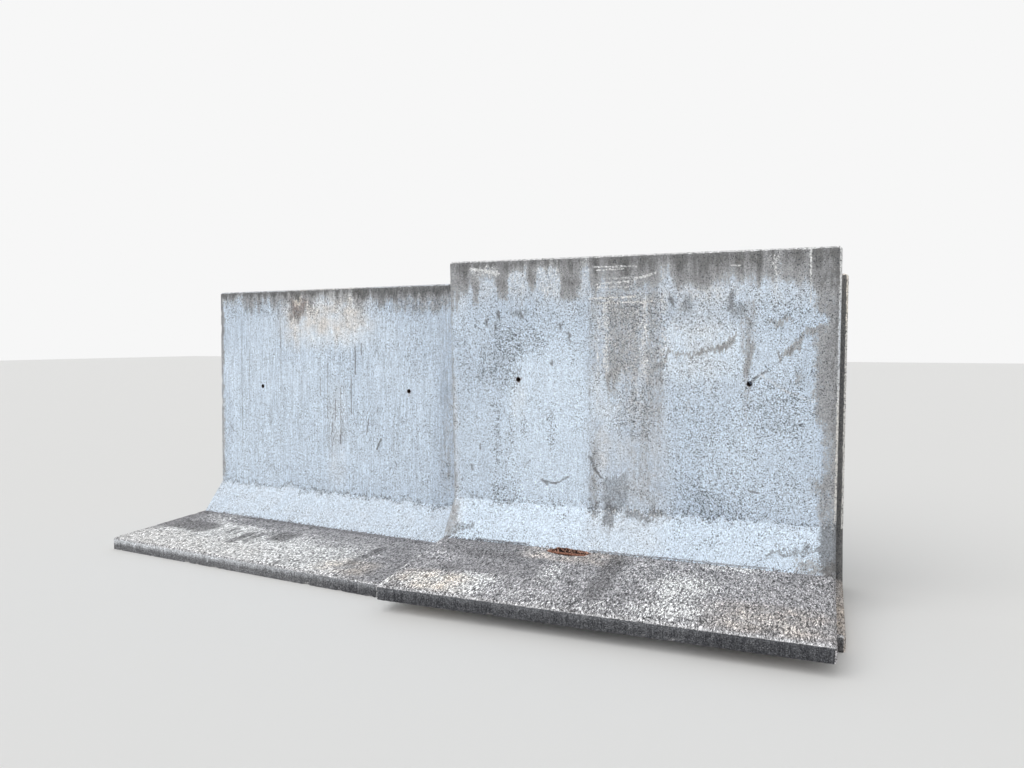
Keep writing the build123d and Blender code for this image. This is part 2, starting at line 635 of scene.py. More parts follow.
def break_rim(mesh):
    """Moves the hollow's points in or out by noise, and keeps those of its rim on the faces they edge."""
    bar_height = surface_height(HOLLOW_CENTRE.y) - BAR_DEPTH
    for vert in mesh.verts:
        off = Vector((vert.co.x, vert.co.y)) - HOLLOW_CENTRE
        inside = Vector((off.x / HOLLOW_HALF_SIZE.x, off.y / HOLLOW_HALF_SIZE.y)).length < RIM_SLACK
        by_bar = Vector((off.y, vert.co.z - bar_height)).length < BAR_CLEARANCE
        if not inside or by_bar or vert.co.z < TOE_THICKNESS:
            continue
        on_rim = abs(surface_height(vert.co.y) - vert.co.z) < SHALLOW
        grown = 1.0 + RIM_UNREST * noise.noise(vert.co * RIM_NOISE)
        vert.co.x = HOLLOW_CENTRE.x + off.x * grown
        vert.co.y = HOLLOW_CENTRE.y + off.y * grown
        if on_rim:
            vert.co.z = surface_height(vert.co.y)


SEEDS = {"left": 3.1, "right": 7.7, "rear": 12.4}
skins = {}
for name, seed in SEEDS.items():
    skins[name] = skin(name, seed, break_rim if name == "right" else None)

# %% [markdown]
# ## Building blocks of the weathered concrete
# The stains are described as soft patches and soft lines in a casting's own metres. Two small node
# groups draw them. A third group bends the place that they are drawn at, so that no patch keeps its
# straight sides. A fourth gives the noises that all the looks share.

# %% Node groups that draw patches and lines
SOCKETS = {"value": "NodeSocketFloat", "vector": "NodeSocketVector", "colour": "NodeSocketColor"}


def new_group(name, inputs, outputs):
    """An empty node group, its Graph, and its input and output sockets by name."""
    tree = bpy.data.node_groups.new(name, "ShaderNodeTree")
    for direction, sockets in (("INPUT", inputs), ("OUTPUT", outputs)):
        for socket, kind in sockets.items():
            tree.interface.new_socket(socket, in_out=direction, socket_type=SOCKETS[kind])
    graph = Graph(tree)
    given = graph.node("NodeGroupInput").outputs
    result = graph.node("NodeGroupOutput").inputs
    return tree, graph, given, result


PATCH_INPUTS = {
    **{name: "vector" for name in ("Place", "Middle", "Steepness", "Head start")},
    **{name: "value" for name in ("Strength", "Before")},
}
ORIGIN = (0.0, 0.0, 0.0)
PATCH, graph, given, result = new_group("soft patch", PATCH_INPUTS, {"Total": "value"})
off = graph.vector("ABSOLUTE", graph.vector("SUBTRACT", given["Place"], given["Middle"]))
beyond = graph.vector("MULTIPLY_ADD", off, given["Steepness"], given["Head start"])
gap = graph.vector("LENGTH", graph.vector("MAXIMUM", beyond, ORIGIN))
mask = graph.fade(gap, 0.0, 1.0)
graph.feed(result["Total"], graph.math("MULTIPLY_ADD", mask, given["Strength"], given["Before"]))

LINE_INPUTS = {
    **{name: "vector" for name in ("Place", "Start", "Run", "Way back")},
    **{name: "value" for name in ("Inner", "Outer", "Strength", "Before")},
}
LINE, graph, given, result = new_group("soft line", LINE_INPUTS, {"Total": "value"})
back = graph.vector("SUBTRACT", given["Start"], given["Place"])
share = graph.clamp(graph.vector("DOT_PRODUCT", back, given["Way back"]))
gap = graph.vector("LENGTH", graph.vector("MULTIPLY_ADD", given["Run"], share, back))
mask = graph.fade(gap, given["Inner"], given["Outer"])
graph.feed(result["Total"], graph.math("MULTIPLY_ADD", mask, given["Strength"], given["Before"]))
print("groups:", [tree.name for tree in bpy.data.node_groups])

# %% Node groups for bent places and shared noises
WOBBLES = ((11.0, 0.045), (40.0, 0.030))
NEAR_WOBBLE = 0.012
NOISE_MIDDLE = (0.5, 0.5, 0.5)

RAGGED_OUTPUTS = {"Place": "vector", "Near place": "vector"}
RAGGED, graph, given, result = new_group("ragged place", {"Place": "vector"}, RAGGED_OUTPUTS)
moved = given["Place"]
for scale, reach in WOBBLES:
    wobble = graph.noise(given["Place"], scale, detail=1.0, output="Color")
    centred = graph.vector("SUBTRACT", wobble, NOISE_MIDDLE)
    moved = graph.vector("ADD", moved, graph.vector("MULTIPLY", centred, (reach, reach, reach)))
graph.feed(result["Place"], moved)
slight = graph.vector("MULTIPLY", centred, (NEAR_WOBBLE, NEAR_WOBBLE, NEAR_WOBBLE))
graph.feed(result["Near place"], graph.vector("ADD", given["Place"], slight))

# Scale, detail, roughness and the squeeze along each axis
NOISE_RECIPES = {
    "Mottle": (1.7, 2.0, 0.5, None),
    "Cloud": (9.0, 3.0, 0.6, None),
    "Streak": (1.0, 3.0, 0.6, (15.0, 15.0, 1.0)),
    "Fine streak": (1.0, 2.0, 0.7, (80.0, 80.0, 4.0)),
    "Speckle": (42.0, 3.0, 0.75, None),
    "Grain": (170.0, 2.0, 0.8, None),
    "Gravel": (1.0, 2.0, 0.8, (100.0, 30.0, 100.0)),
    "Fleck": (1.0, 3.0, 0.75, (60.0, 60.0, 18.0)),
}
NOISE_OUTPUTS = (*NOISE_RECIPES, "Grit", "Dots", "Chance")
NOISE_GAIN = 6.0
GRIT_SQUEEZE = (225.0, 75.0, 195.0)
DOT_SCALE = 150.0
DOT_EDGE = (0.22, 0.40)
PIT_SHARE = 0.2
PIT_HEIGHT = -0.6
GRAIN_HEIGHT = 0.2
EVEN_HEIGHT = 0.5

NOISES, graph, given, result = new_group(
    "shared noises",
    {"Place": "vector"},
    {name: "value" for name in (*NOISE_OUTPUTS, "Height")},
)
made = {}
for name, recipe in NOISE_RECIPES.items():
    soft = graph.noise(given["Place"], *recipe)
    made[name] = graph.math("MULTIPLY_ADD", soft, NOISE_GAIN, -NOISE_GAIN / 2)
grit = graph.cells(graph.vector("MULTIPLY", given["Place"], GRIT_SQUEEZE), 1.0)[1]
made["Grit"] = graph.math("MULTIPLY_ADD", grit, 2.0, -1.0)
from_middle, made["Chance"] = graph.cells(given["Place"], DOT_SCALE)
made["Dots"] = graph.fade(from_middle, *DOT_EDGE)
pits = graph.math("MULTIPLY", made["Dots"], graph.math("LESS_THAN", made["Chance"], PIT_SHARE))
grained = graph.math("MULTIPLY_ADD", made["Grain"], GRAIN_HEIGHT, EVEN_HEIGHT)
made["Height"] = graph.math("MULTIPLY_ADD", pits, PIT_HEIGHT, grained)
for name, value in made.items():
    graph.feed(result[name], value)
print("shared noises:", ", ".join(NOISE_OUTPUTS))

# %% [markdown]
# ## Two kinds of surface
# The upright faces were cast against a smooth form: bluish white, with fine pores, under a grey
# film that grows down from the top. The foot's top was trowelled and walked on: grey and coarse.
# Each is a group that takes fields of stains and of painted light and shade, and the shared noises,
# and gives a colour. It starts with the clean concrete and covers it with one stain or painted
# patch after another. Noises are added to a field before it is made a mask, so that grit eats
# into the border of every stain.

# %% A helper that covers one colour with the next
def noisy(graph, given, start, shares):
    """start plus each named noise times its share."""
    total = start
    for name, share in shares.items():
        total = graph.math("MULTIPLY_ADD", given[name], share, total)
    return total


class Surface:
    """One kind of concrete as a node group: fields and noises go in, a colour comes out."""

    def __init__(self, name, fields, more=()):
        inputs = {socket: "value" for socket in (*fields, *NOISE_OUTPUTS, *more)}
        self.tree, self.graph, self.given, self.result = new_group(name, inputs, {"Colour": "colour"})

    def noisy(self, start, **shares):
        """start plus each noise times its share. A name of two words is written with an underscore."""
        named = {name.replace("_", " "): share for name, share in shares.items()}
        return noisy(self.graph, self.given, start, named)

    def between(self, tone, darker, lighter):
        """A colour that goes from the darker to the lighter one."""
        return self.graph.blend(self.graph.clamp(tone), darker, lighter)

    def cover(self, mask, stained, strength=1.0):
        """Covers the colour so far where the mask is."""
        if strength < 1.0:
            mask = self.graph.math("MULTIPLY", mask, strength)
        self.colour = self.graph.blend(mask, self.colour, stained)

    def shade(self, amount):
        """Hands out the colour times 1 plus an amount."""
        scaled = self.graph.node("ShaderNodeVectorMath", operation="SCALE")
        self.graph.feed(scaled.inputs[0], self.colour)
        self.graph.feed(scaled.inputs["Scale"], self.graph.math("ADD", 1.0, amount))
        self.graph.feed(self.result["Colour"], scaled.outputs[0])


# %% The formed face of stem and haunch
STEM_FIELDS = ("Film", "Pale", "Dark", "Warm", "Rust", "Pores", "Light")
FORMED_DARK, FORMED_LIGHT = paint(190, 203, 218), paint(207, 219, 232)
# Painted light: the Light field brightens the haunch, which faces the sky, the lower stem, and on the left
# unit a pool of sunlight
PAINTED_LIGHT = paint(219, 232, 245)
# Warm tint, and on the left unit also painted warm sunlight near the top
WARM_TINT_AND_SUNLIGHT = paint(220, 217, 214)
THIN_FILM, THICK_FILM = paint(156, 156, 157), paint(94, 92, 89)
DARK_STAIN = paint(102, 101, 101)
PALE_STAIN, PALE_WARM_STAIN = paint(208, 213, 219), paint(226, 220, 210)
RUST_STAIN = paint(128, 92, 70)
# Pore colours are painted shade in the small pits
FINE_PORE, PORE = paint(84, 87, 92), paint(66, 68, 72)
# Where a field's mask begins and where it is full
FILM_UNREST_EDGE = (0.0, 0.30)
FILM_EDGE = (0.32, 0.68)
THICK_FILM_EDGE = (1.0, 1.9)
DARK_EDGE = (0.30, 0.80)
PALE_EDGE = (0.35, 0.75)
RUST_EDGE = (0.1, 0.9)

formed = Surface("formed concrete", STEM_FIELDS, more=("Streaky", "Grainy"))
graph, given = formed.graph, formed.given
tone = formed.noisy(0.5, Mottle=0.30, Streak=0.22, Cloud=0.12)
formed.colour = formed.between(tone, FORMED_DARK, FORMED_LIGHT)
# Painted light: where the Light field is, the colour goes to a lighter blue white, as a lit face would
formed.cover(given["Light"], PAINTED_LIGHT)
# The Warm field gives a warm tint, and on the left unit a pool of painted sunlight
formed.cover(graph.math("MULTIPLY", given["Warm"], formed.noisy(0.6, Cloud=0.3), clamp=True), WARM_TINT_AND_SUNLIGHT)
unrest = formed.noisy(0.0, Streak=0.14, Fleck=0.22, Grit=0.36)
unrest = graph.math("MULTIPLY", unrest, graph.smooth(given["Film"], *FILM_UNREST_EDGE))
film = graph.smooth(graph.math("ADD", given["Film"], unrest), *FILM_EDGE)
thick = graph.smooth(formed.noisy(given["Film"], Streak=0.25, Fleck=0.16, Grit=0.30), *THICK_FILM_EDGE)
formed.cover(film, graph.blend(thick, THIN_FILM, THICK_FILM), strength=0.92)
dark = graph.smooth(formed.noisy(given["Dark"], Fleck=0.16, Grit=0.40), *DARK_EDGE)
formed.cover(dark, DARK_STAIN, strength=0.8)
pale = graph.smooth(formed.noisy(given["Pale"], Fleck=0.14, Grit=0.34), *PALE_EDGE)
formed.cover(pale, graph.blend(given["Warm"], PALE_STAIN, PALE_WARM_STAIN))
formed.cover(graph.smooth(formed.noisy(given["Rust"], Speckle=0.2), *RUST_EDGE), RUST_STAIN)
pores = formed.noisy(given["Pores"], Cloud=0.12, Streak=0.08, Fine_streak=0.08)
fine_pores = graph.math("GREATER_THAN", graph.math("SUBTRACT", pores, 1.0), given["Grit"])
# Fine pores and pores: dark specks of painted shade in the pits
formed.cover(fine_pores, FINE_PORE, strength=0.90)
chosen = graph.math("GREATER_THAN", pores, given["Chance"])
formed.cover(graph.math("MULTIPLY", chosen, given["Dots"]), PORE, strength=0.95)
grain = graph.math("MULTIPLY", formed.noisy(0.0, Grain=0.34, Grit=0.32), given["Grainy"])
formed.shade(graph.math("MULTIPLY_ADD", given["Fine streak"], given["Streaky"], grain))
print("formed concrete takes", ", ".join(STEM_FIELDS))

# %% The trowelled foot and its toe
LYING_FIELDS = ("Cream", "Soot", "Tint")
TOE_FIELDS = ("Face", "Face light", "Edge")
FOOT_DARK, FOOT_LIGHT = paint(130, 130, 132), paint(186, 184, 187)
CREAM, TINT, SOOT = paint(208, 208, 208), paint(214, 198, 180), paint(100, 99, 100)
# The toe's face is darkened partly as dirt and partly as painted shade
TOE_DIRT_AND_SHADE_DARK, TOE_DIRT_AND_SHADE_LIGHT = paint(55, 56, 60), paint(111, 112, 115)
TOE_BAND, TOE_ARRIS = paint(202, 205, 209), paint(176, 176, 178)
CREAM_EDGE = (0.20, 0.90)
SOOT_EDGE = (0.2, 0.9)
ARRIS_EDGE = (0.35, 0.75)
BRIGHT_SPECK = 0.8
SPECKS_ABOVE = 0.86
DARKEST_GRAIN = -0.85
TOE_SMOOTHNESS = 0.45

trowelled = Surface("trowelled concrete", (*LYING_FIELDS, *TOE_FIELDS))
graph, given = trowelled.graph, trowelled.given
tone = trowelled.noisy(0.45, Mottle=0.12, Cloud=0.20, Speckle=0.15)
trowelled.colour = trowelled.between(tone, FOOT_DARK, FOOT_LIGHT)
cream = trowelled.noisy(given["Cream"], Gravel=0.25, Cloud=0.14, Grit=0.15)
trowelled.cover(graph.smooth(cream, *CREAM_EDGE), CREAM)
tinted = graph.math("MULTIPLY", given["Tint"], trowelled.noisy(0.5, Cloud=0.35), clamp=True)
trowelled.cover(tinted, TINT)
soot = trowelled.noisy(given["Soot"], Gravel=0.22, Cloud=0.12, Grit=0.15)
trowelled.cover(graph.smooth(soot, *SOOT_EDGE), SOOT, strength=0.75)
tone = trowelled.noisy(0.16, Cream=0.45, Fine_streak=0.16, Streak=0.10, Speckle=0.22, Grit=0.15)
# The toe's face: dirt and painted shade
trowelled.cover(given["Face"], trowelled.between(tone, TOE_DIRT_AND_SHADE_DARK, TOE_DIRT_AND_SHADE_LIGHT))
trowelled.cover(given["Face light"], TOE_BAND)
trowelled.cover(graph.smooth(trowelled.noisy(given["Edge"], Speckle=0.2), *ARRIS_EDGE), TOE_ARRIS)
coarse = trowelled.noisy(0.0, Gravel=0.72, Grit=0.85, Grain=0.45)
specks = graph.math("GREATER_THAN", given["Grit"], SPECKS_ABOVE)
coarse = graph.math("MAXIMUM", graph.math("MULTIPLY_ADD", specks, BRIGHT_SPECK, coarse), DARKEST_GRAIN)
calm = graph.math("MULTIPLY_ADD", given["Face"], -TOE_SMOOTHNESS, 1.0)
trowelled.shade(graph.math("MULTIPLY", coarse, calm))
print("trowelled concrete takes", ", ".join((*LYING_FIELDS, *TOE_FIELDS)))

# %% [markdown]
# ## Where each stain and each patch of painted light and shade is
# Patches are (left, right, low, high, softness across, softness up, strength). Lines are (start
# across, start up, end across, end up, half width, softness, strength). All are in metres in the
# casting's own axes, and what runs past an end starts at -0.1 or stops at 2.6. On the foot, up means
# from the toe towards the heel. Patches and ragged lines are drawn at a bent place, plain lines at a
# nearly true one. A negative strength takes a stain away. The last four values of a table say how
# far the toe keeps the foot's colour, how strong the light band on the toe is, and how strongly fine
# streaks and grain show on the formed faces.

# %% Stains of the raised unit
def count_patches(stains):
    """How many patches a casting's table holds."""
    return sum(len(kinds.get("patches", ())) for kinds in stains.values() if isinstance(kinds, dict))


RIGHT = {
    "Film": {
        "patches": [
            (-0.1, 2.6, 1.80, 2.10, 0.05, 0.07, 0.95),
            (-0.1, 2.6, 1.90, 2.10, 0.05, 0.06, 0.62),
            (-0.1, 0.06, 1.68, 1.82, 0.03, 0.06, 0.7),
            (0.17, 0.23, 1.68, 1.84, 0.025, 0.06, 0.7),
            (0.35, 0.43, 1.73, 1.86, 0.025, 0.04, 0.8),
            (0.57, 0.63, 1.77, 1.88, 0.02, 0.04, 0.5),
            (0.80, 0.94, 1.74, 1.86, 0.03, 0.02, 0.7),
            (0.36, 0.96, 1.722, 1.745, 0.03, 0.012, 0.4),
            (1.0, 1.46, 1.70, 1.86, 0.03, 0.05, 0.35),
            (1.60, 1.78, 1.78, 1.88, 0.03, 0.04, 0.35),
            (1.92, 2.03, 1.45, 1.90, 0.045, 0.16, 0.30),
            (1.94, 2.02, 0.95, 1.60, 0.03, 0.20, 0.24),
            (2.2, 2.34, 1.75, 1.86, 0.04, 0.05, 0.5),
            (0.22, 0.35, 1.74, 1.88, 0.03, 0.03, -0.75),
            (0.14, 0.36, 1.89, 1.94, 0.03, 0.02, -0.6),
            (0.43, 0.57, 1.75, 1.93, 0.03, 0.04, -1.1),
            (0.63, 0.79, 1.73, 1.95, 0.03, 0.04, -1.2),
            (0.93, 1.0, 1.72, 1.95, 0.03, 0.06, -0.7),
            (1.02, 1.42, 1.76, 1.88, 0.05, 0.03, -0.25),
            (1.44, 1.52, 1.74, 1.95, 0.02, 0.05, -0.6),
            (1.50, 2.34, 1.72, 1.88, 0.05, 0.07, -0.14),
            (1.86, 2.3, 1.74, 1.86, 0.08, 0.04, -0.25),
            (2.06, 2.18, 1.88, 1.98, 0.03, 0.03, -0.4),
            (2.36, 2.6, 0.95, 1.86, 0.03, 0.06, 0.72),
            (2.41, 2.6, 0.62, 0.98, 0.03, 0.05, 0.72),
            (2.34, 2.6, 0.57, 0.65, 0.04, 0.03, 0.5),
            (2.39, 2.6, 0.34, 0.60, 0.03, 0.03, 0.72),
            (2.43, 2.6, 1.20, 2.10, 0.015, 0.30, 0.24),
            (1.0, 1.47, 1.22, 1.72, 0.02, 0.06, 0.31),
            (1.12, 1.32, 1.24, 1.70, 0.02, 0.04, 0.27),
            (1.36, 1.47, 0.90, 1.72, 0.03, 0.10, 0.14),
            (1.20, 1.50, 0.38, 1.22, 0.06, 0.10, 0.26),
            (0.995, 1.06, 0.36, 0.85, 0.02, 0.10, 0.30),
            (-0.1, 0.025, 0.34, 1.8, 0.02, 0.10, 0.55),
            (-0.1, 0.07, 0.12, 0.34, 0.03, 0.05, 0.60),
            (0.08, 0.17, 0.16, 0.21, 0.04, 0.03, 0.35),
            (2.27, 2.42, 0.13, 0.20, 0.04, 0.04, 0.78),
            (2.42, 2.6, 0.10, 0.19, 0.03, 0.03, 1.30),
            (2.34, 2.6, 1.00, 1.52, 0.025, 0.05, 0.14),
            (2.33, 2.425, 1.57, 1.63, 0.03, 0.02, -0.75),
            (2.24, 2.31, 1.20, 1.28, 0.02, 0.02, 0.45),
            (1.11, 1.18, 1.08, 1.28, 0.02, 0.04, 0.45),
        ],
        "ragged lines": [
            (1.50, 1.37, 1.70, 1.388, 0.003, 0.022, 0.56),
            (1.70, 1.388, 1.83, 1.42, 0.006, 0.026, 0.64),
            (1.83, 1.42, 1.90, 1.48, 0.008, 0.026, 0.72),
            (1.42, 1.28, 1.50, 1.37, 0.002, 0.02, 0.35),
            (2.16, 1.40, 2.22, 1.41, 0.005, 0.024, 0.65),
            (2.22, 1.41, 2.34, 1.54, 0.008, 0.026, 0.70),
            (2.10, 1.57, 2.22, 1.59, 0.004, 0.024, 0.60),
            (1.98, 1.30, 2.0, 1.45, 0.004, 0.028, 0.46),
        ],
    },
    "Pale": {
        "patches": [
            (0.15, 0.37, 1.89, 1.95, 0.03, 0.02, 0.35),
            (0.22, 0.35, 1.75, 1.88, 0.03, 0.04, 0.25),
            (0.43, 0.57, 1.75, 1.93, 0.03, 0.05, 0.35),
            (0.63, 0.80, 1.74, 1.95, 0.03, 0.05, 0.40),
            (0.93, 1.0, 1.70, 1.97, 0.02, 0.05, 0.30),
            (1.04, 1.42, 1.22, 1.75, 0.06, 0.06, 0.24),
            (1.14, 1.36, 0.88, 1.24, 0.04, 0.06, 0.22),
            (1.45, 1.50, 1.30, 1.97, 0.02, 0.10, 0.28),
            (1.50, 1.95, 1.44, 1.58, 0.06, 0.05, 0.20),
            (2.12, 2.15, 1.75, 1.95, 0.008, 0.04, 0.40),
            (2.08, 2.16, 1.93, 1.97, 0.02, 0.02, 0.30),
            (1.34, 1.37, 1.22, 1.72, 0.010, 0.06, 0.30),
            (1.09, 1.12, 1.25, 1.70, 0.010, 0.06, 0.28),
            (1.04, 1.06, 1.0, 1.65, 0.008, 0.06, 0.25),
            (1.52, 1.95, 1.72, 1.80, 0.05, 0.03, 0.25),
            (-0.1, 2.6, 0.352, 0.368, 0.02, 0.006, 0.35),
            (1.58, 1.66, 1.0, 1.08, 0.03, 0.03, 0.35),
        ],
        "lines": [
            (1.02, 1.93, 1.30, 1.925, 0.001, 0.009, 0.62),
            (1.05, 1.91, 1.22, 1.912, 0.001, 0.009, 0.60),
            (1.05, 1.82, 1.25, 1.832, 0.002, 0.012, 0.60),
            (1.25, 1.832, 1.42, 1.88, 0.002, 0.012, 0.60),
            (1.08, 1.85, 1.38, 1.86, 0.001, 0.010, 0.45),
            (1.05, 1.80, 1.30, 1.80, 0.001, 0.010, 0.55),
            (1.0, 1.73, 1.30, 1.735, 0.001, 0.009, 0.60),
            (1.05, 1.70, 1.40, 1.705, 0.001, 0.009, 0.50),
            (2.05, 1.26, 2.20, 1.16, 0.002, 0.010, 0.55),
            (2.20, 1.16, 2.36, 1.10, 0.002, 0.010, 0.50),
            (0.16, 1.945, 0.28, 1.93, 0.002, 0.012, 0.6),
            (0.28, 1.93, 0.36, 1.905, 0.004, 0.016, 0.6),
            (1.88, 1.91, 1.93, 1.91, 0.001, 0.008, 0.6),
            (0.0, 1.996, 2.49, 1.996, 0.003, 0.007, 0.80),
            (2.484, 0.40, 2.484, 2.0, 0.004, 0.005, 1.0),
            (2.321, 1.99, 2.324, 1.84, 0.002, 0.006, 0.9),
            (2.324, 1.84, 2.326, 1.68, 0.001, 0.005, 0.75),
        ],
    },
    "Dark": {
        "patches": [
            (1.08, 1.25, 0.37, 0.58, 0.02, 0.015, 0.54),
            (1.0, 1.05, 0.33, 0.45, 0.02, 0.04, 0.50),
            (1.38, 1.44, 0.34, 0.46, 0.02, 0.03, 0.40),
            (1.22, 1.52, 0.335, 0.366, 0.04, 0.012, 0.65),
            (1.09, 1.17, 0.24, 0.38, 0.02, 0.03, 0.75),
            (1.22, 1.39, 0.30, 0.34, 0.03, 0.015, 0.65),
            (0.27, 0.29, 1.57, 1.61, 0.012, 0.02, 1.15),
            (0.35, 0.37, 1.60, 1.65, 0.012, 0.02, 1.2),
            (0.33, 0.35, 1.50, 1.55, 0.012, 0.02, 1.0),
            (0.45, 0.57, 1.62, 1.66, 0.02, 0.02, 0.62),
            (0.79, 0.81, 1.55, 1.59, 0.012, 0.02, 1.1),
            (0.85, 0.87, 1.47, 1.53, 0.012, 0.02, 1.1),
            (0.73, 0.75, 1.28, 1.32, 0.012, 0.02, 1.0),
            (1.505, 1.535, 1.66, 1.74, 0.014, 0.03, 0.80),
            (1.58, 1.65, 1.64, 1.75, 0.030, 0.05, 0.62),
            (1.86, 1.90, 1.63, 1.75, 0.018, 0.03, 0.75),
            (1.90, 1.97, 1.61, 1.66, 0.03, 0.03, 0.62),
            (0.21, 0.23, 0.70, 0.74, 0.012, 0.012, 0.95),
            (0.14, 0.16, 0.56, 0.60, 0.012, 0.012, 0.8),
            (2.450, 2.476, 0.9, 2.0, 0.008, 0.10, 0.42),
            (2.40, 2.6, 0.13, 0.36, 0.03, 0.03, 1.05),
            (0.99, 1.0, 0.36, 1.72, 0.004, 0.05, 0.35),
        ],
        "lines": [
            (0.66, 0.53, 0.70, 0.50, 0.003, 0.012, 0.7),
            (0.68, 0.52, 0.76, 0.51, 0.002, 0.010, 0.9),
            (0.76, 0.51, 0.85, 0.56, 0.002, 0.010, 0.8),
            (1.985, 1.195, 2.03, 1.24, 0.002, 0.010, 0.8),
            (2.03, 1.24, 2.09, 1.28, 0.002, 0.010, 0.7),
            (1.0, 0.70, 1.03, 0.62, 0.003, 0.012, 0.7),
            (1.03, 0.62, 1.07, 0.57, 0.003, 0.012, 0.8),
            (2.05, 0.54, 2.0, 0.545, 0.003, 0.012, 0.6),
            (0.25, 0.138, 0.62, 0.136, 0.001, 0.010, 0.70),
            (1.05, 0.136, 2.12, 0.138, 0.001, 0.007, 0.65),
        ],
        "ragged lines": [
            (0.05, 0.165, 0.20, 0.215, 0.010, 0.022, 0.60),
            (2.12, 0.200, 2.40, 0.255, 0.005, 0.020, 0.75),
        ],
    },
    "Warm": {
        "patches": [
            (-0.1, 0.05, 0.30, 1.2, 0.02, 0.2, 0.35),
            (-0.1, 0.10, 0.12, 0.36, 0.04, 0.06, 0.5),
            (1.05, 1.13, 0.68, 0.92, 0.03, 0.08, 0.5),
            (1.00, 1.50, 0.14, 1.75, 0.08, 0.1, 0.38),
            (1.5, 1.9, 1.2, 1.8, 0.2, 0.2, 0.45),
            (0.45, 0.55, 0.95, 1.18, 0.03, 0.08, 0.35),
            (-0.1, 2.6, 1.70, 2.1, 0.1, 0.1, 0.35),
            (2.47, 2.6, 0.3, 1.2, 0.005, 0.20, 0.6),
        ],
    },
    "Rust": {
        "patches": [
            (0.48, 0.52, 1.168, 1.20, 0.01, 0.01, 0.40),
            (1.975, 2.0, 1.168, 1.20, 0.01, 0.01, 0.25),
        ],
    },
    "Pores": {
        "base": 0.10,
        "patches": [
            (0.29, 0.52, 1.15, 1.55, 0.06, 0.10, 0.55),
            (0.46, 0.72, 1.36, 1.56, 0.06, 0.06, 0.35),
            (0.21, 0.26, 1.16, 1.40, 0.02, 0.06, 0.55),
            (0.08, 0.18, 1.15, 1.45, 0.05, 0.10, 0.25),
            (0.32, 0.36, 0.62, 1.02, 0.02, 0.08, 0.50),
            (0.43, 0.47, 0.78, 1.0, 0.02, 0.06, 0.35),
            (0.52, 0.56, 0.78, 1.0, 0.02, 0.06, 0.35),
            (0.70, 0.76, 0.78, 1.02, 0.02, 0.06, 0.42),
            (0.30, 0.50, 0.36, 0.50, 0.04, 0.05, 0.45),
            (0.5, 1.0, 0.36, 1.3, 0.10, 0.15, -0.10),
            (1.50, 2.33, 0.36, 1.30, 0.10, 0.15, 0.20),
            (1.55, 2.0, 0.36, 0.55, 0.10, 0.05, 0.25),
            (2.0, 2.3, 0.90, 1.20, 0.06, 0.10, 0.25),
            (1.15, 1.40, 0.85, 1.20, 0.05, 0.08, 0.35),
            (1.0, 1.5, 1.2, 1.75, 0.05, 0.10, 0.20),
            (-0.1, 2.6, 0.36, 0.385, 0.1, 0.01, 0.40),
            (0.1, 2.4, 1.55, 1.8, 0.1, 0.1, 0.20),
        ],
    },
    # Light is painted light: a lighter haunch, which faces the sky, and a lighter lower stem
    "Light": {
        "patches": [
            (-0.1, 2.6, 0.05, 0.356, 0.1, 0.008, 0.60),
            (0.42, 0.98, 0.25, 1.45, 0.06, 0.25, 0.80),
            (0.05, 0.42, 0.25, 1.00, 0.06, 0.25, 0.40),
            (1.48, 1.95, 1.22, 1.55, 0.03, 0.05, 0.70),
            (1.5, 2.35, 0.36, 1.22, 0.1, 0.3, 0.30),
            (1.0, 1.2, 0.95, 1.25, 0.05, 0.10, 0.60),
            (1.75, 2.05, 0.50, 0.90, 0.10, 0.10, 0.25),
        ],
    },
    "Cream": {
        "patches": [
            (0.10, 0.62, 0.03, 0.27, 0.12, 0.07, 0.90),
            (0.42, 0.68, 0.24, 0.36, 0.06, 0.05, 0.60),
            (0.85, 1.0, 0.28, 0.62, 0.06, 0.06, 0.45),
            (0.10, 0.20, 0.52, 0.64, 0.04, 0.04, 0.40),
            (1.55, 1.85, 0.0, 0.60, 0.12, 0.12, 0.60),
            (1.3, 2.0, 0.45, 0.75, 0.15, 0.10, 0.25),
            (2.0, 2.42, 0.10, 0.24, 0.12, 0.05, 0.30),
            (0.7, 1.6, -0.1, 0.20, 0.15, 0.08, 0.30),
            (-0.1, 0.06, -0.1, 0.15, 0.02, 0.05, 0.50),
            (-0.1, 0.04, 0.1, 0.86, 0.02, 0.05, 0.35),
            (0.68, 0.80, 0.66, 0.90, 0.04, 0.05, 0.22),
            (1.75, 2.10, 0.78, 0.90, 0.10, 0.03, 0.60),
        ],
    },
    "Soot": {
        "patches": [
            (0.05, 0.66, 0.62, 0.95, 0.10, 0.06, 0.55),
            (0.25, 0.88, 0.33, 0.66, 0.12, 0.06, 0.42),
            (-0.1, 0.35, 0.30, 0.45, 0.08, 0.05, 0.25),
            (1.02, 1.30, 0.50, 0.84, 0.06, 0.10, 0.28),
            (1.19, 1.31, 0.15, 0.90, 0.03, 0.08, 0.60),
            (0.98, 1.32, -0.1, 0.04, 0.04, 0.03, 0.35),
            (2.40, 2.6, 0.20, 0.80, 0.04, 0.10, 0.22),
            (-0.1, 2.6, 0.850, 0.90, 0.1, 0.012, 0.30),
            (2.46, 2.6, 0.33, 0.37, 0.01, 0.01, 0.8),
        ],
    },
    "Tint": {
        "patches": [
            (0.08, 0.50, 0.04, 0.28, 0.10, 0.07, 0.70),
            (0.65, 1.25, 0.66, 0.90, 0.08, 0.05, 0.42),
            (1.9, 2.45, 0.02, 0.35, 0.15, 0.08, 0.40),
        ],
    },
    "Toe": -0.10,
    "Toe light": 0.10,
    "Streaky": 0.08,
    "Grainy": 1.0,
}
print("raised unit:", count_patches(RIGHT), "patches")

